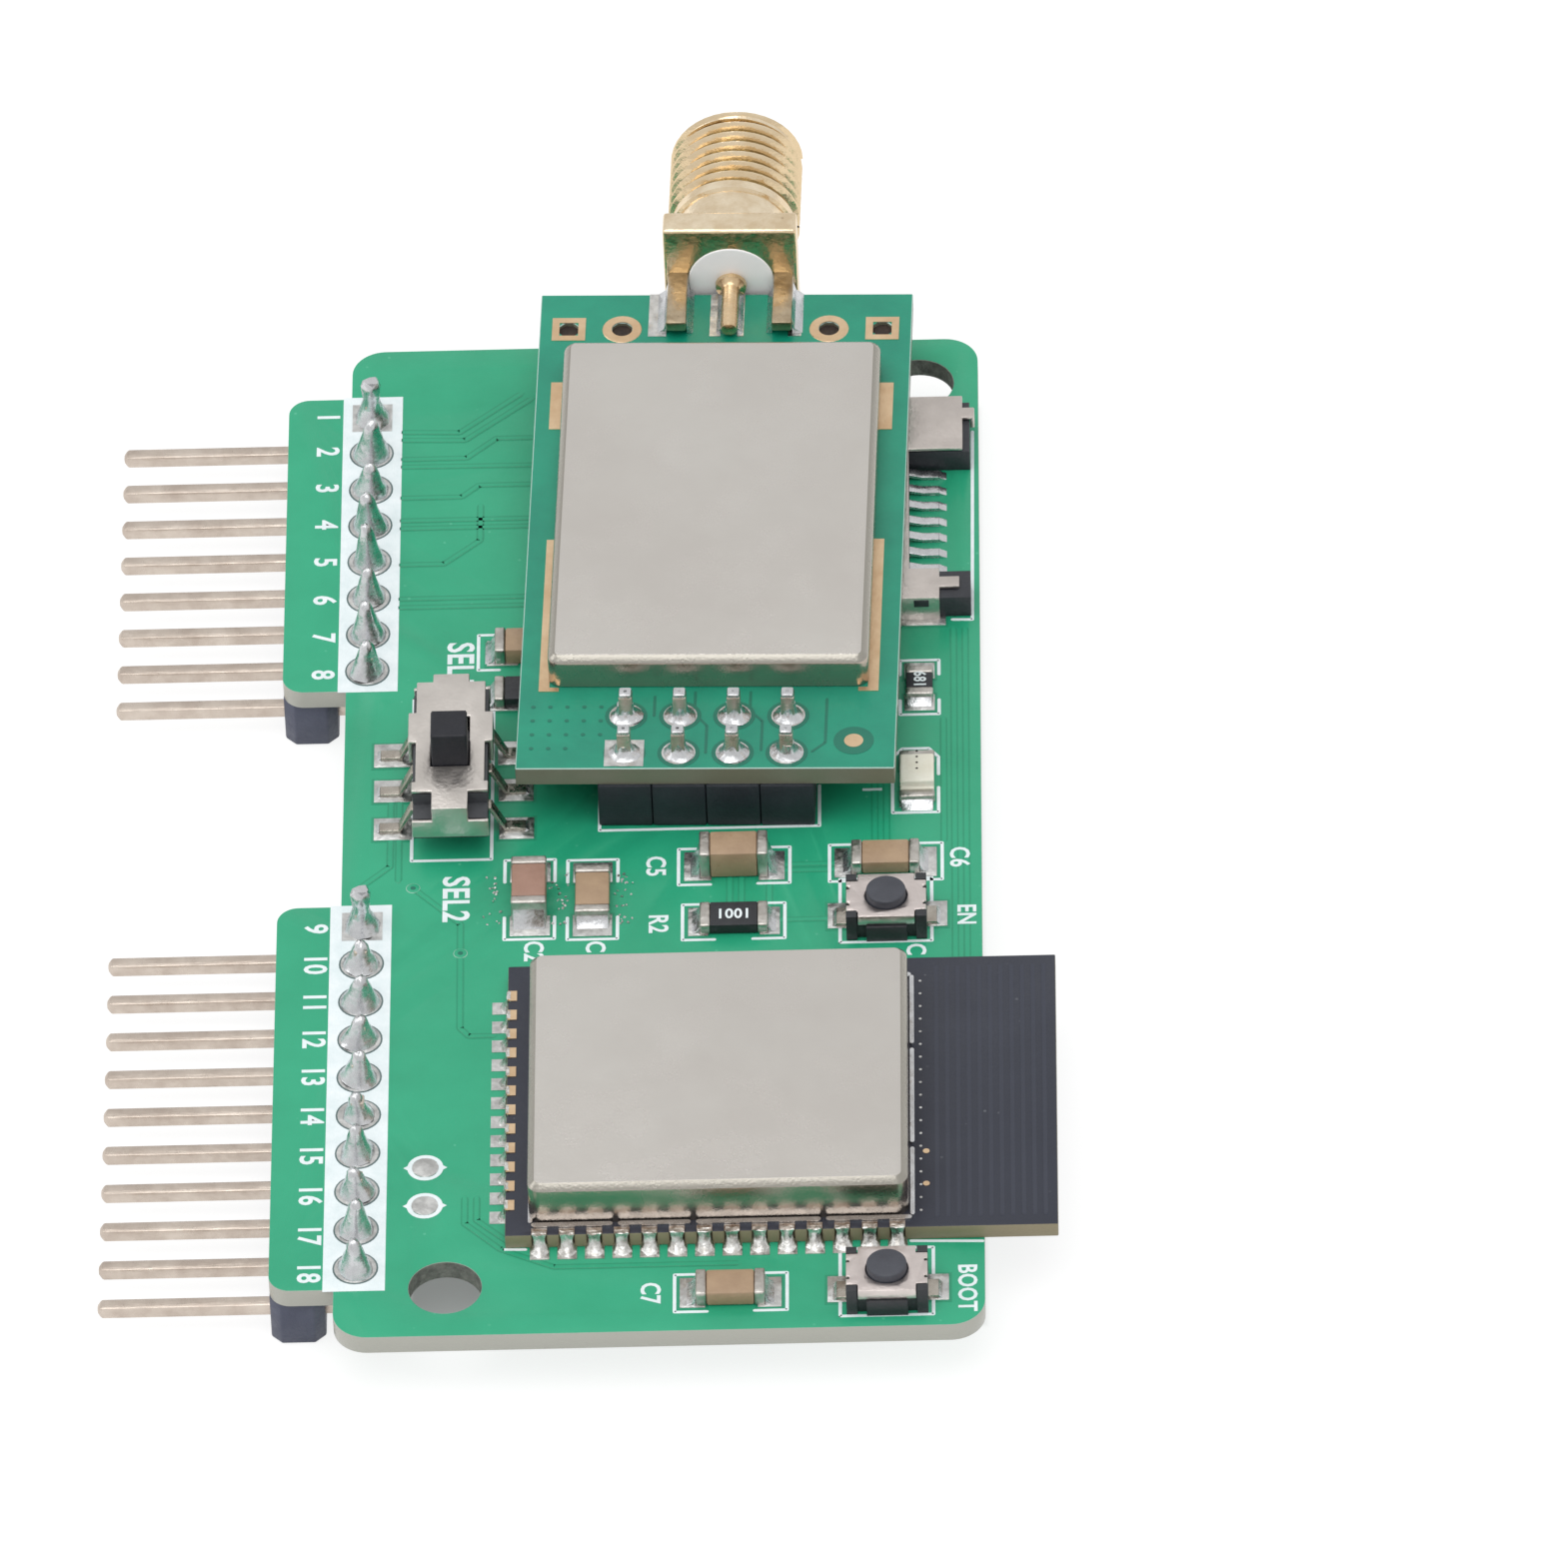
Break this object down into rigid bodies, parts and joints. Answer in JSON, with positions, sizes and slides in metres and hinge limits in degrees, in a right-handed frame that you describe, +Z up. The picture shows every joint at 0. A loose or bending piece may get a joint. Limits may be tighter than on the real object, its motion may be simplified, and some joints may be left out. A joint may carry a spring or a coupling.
{
  "type": "wifi development board",
  "caption": "Small development board with a shielded wireless module, a raised radio module with a threaded coaxial jack, right-angle pin headers, slide switch, push buttons and a card socket.",
  "frame": {"origin": "on the carrier board's underside, midway between its two mounting holes", "axes": "+Z up out of the board's top face, +Y along the board towards the coaxial jack, +X away from the header pins"},
  "size_m": [0.0444, 0.0764, 0.0107],
  "materials": {
    "green_board": "glossy green lacquer on glass-fibre board",
    "radio_green": "glossy blue-green lacquer on glass-fibre board",
    "module_black": "satin black lacquer",
    "header_black": "moulded black plastic",
    "pin_metal": "tinned brass",
    "solder": "bright solder",
    "shield_metal": "dull tinned sheet",
    "chip_black": "moulded epoxy",
    "crystal_metal": "plated lid",
    "jack_brass": "pale gold plating on brass",
    "jack_white": "white fluoropolymer",
    "contact_gold": "gold plating",
    "switch_plastic": "moulded black plastic",
    "switch_metal": "satin tinned sheet",
    "knob_grey": "moulded slate plastic",
    "lead_tin": "tinned bronze",
    "button_black": "moulded black plastic",
    "button_metal": "satin steel sheet",
    "plunger_grey": "moulded dark grey plastic",
    "spring_steel": "bare spring steel",
    "socket_plastic": "moulded black plastic",
    "socket_metal": "bright steel sheet",
    "ceramic_tan": "fired ceramic",
    "ceramic_brown": "fired ceramic",
    "resistor_black": "black glaze on ceramic",
    "cap_tin": "matte tin plating",
    "led_body": "cloudy clear resin"
  },
  "bodies": {
    "board": {"carrier_board": "green_board", "header_a_block": "header_black", "header_a_pins": "pin_metal", "header_a_solder": "solder", "header_b_block": "header_black", "header_b_pins": "pin_metal", "header_b_solder": "solder", "radio_board": "radio_green", "radio_header_block": "header_black", "radio_header_pins": "pin_metal", "radio_header_solder": "solder", "radio_header_solder_below": "solder", "radio_shield": "shield_metal", "radio_chip": "chip_black", "radio_amplifier": "chip_black", "radio_crystal": "crystal_metal", "coax_jack_body": "jack_brass", "coax_jack_insulator": "jack_white", "coax_jack_contact": "contact_gold", "coax_jack_solder": "solder", "wifi_module_board": "module_black", "wifi_module_shield": "shield_metal", "wifi_processor": "chip_black", "wifi_flash": "chip_black", "wifi_crystal": "crystal_metal", "wifi_module_solder": "solder", "switch_base": "switch_plastic", "switch_cover": "switch_metal", "switch_leads": "lead_tin", "switch_solder": "solder", "card_socket_base": "socket_plastic", "card_socket_shell": "socket_metal", "card_socket_contacts": "lead_tin", "card_socket_solder": "solder", "card_socket_spring": "spring_steel", "capacitor_ceramics": "ceramic_tan", "capacitor_c2_ceramic": "ceramic_brown", "resistor_bodies": "resistor_black", "chip_end_caps": "cap_tin", "chip_solder": "solder", "status_led": "led_body", "enable_button_base": "button_black", "enable_button_cover": "button_metal", "enable_button_dome": "spring_steel", "enable_button_terminals": "lead_tin", "enable_button_solder": "solder", "boot_button_base": "button_black", "boot_button_cover": "button_metal", "boot_button_dome": "spring_steel", "boot_button_terminals": "lead_tin", "boot_button_solder": "solder"},
    "switch_slider": {"switch_knob": "knob_grey", "switch_contacts": "contact_gold"},
    "enable_plunger": {"enable_button_plunger": "plunger_grey"},
    "boot_plunger": {"boot_button_plunger": "plunger_grey"},
    "card_slider": {"card_socket_sled": "socket_plastic"}
  },
  "joints": [
    {"name": "switch_slide", "type": "slide", "parent": "board", "child": "switch_slider", "axis": [0, 1, 0], "range_m": [0, 0.0015]},
    {"name": "enable_press", "type": "slide", "parent": "board", "child": "enable_plunger", "axis": [0, 0, -1], "range_m": [0, 0.00025], "stiffness_N_per_m": 2400, "deforming": ["enable_button_dome"]},
    {"name": "boot_press", "type": "slide", "parent": "board", "child": "boot_plunger", "axis": [0, 0, -1], "range_m": [0, 0.00025], "stiffness_N_per_m": 2400, "deforming": ["boot_button_dome"]},
    {"name": "card_latch_slide", "type": "slide", "parent": "board", "child": "card_slider", "axis": [1, 0, 0], "range_m": [0, 0.0015], "stiffness_N_per_m": 400, "deforming": ["card_socket_spring"]}
  ]
}
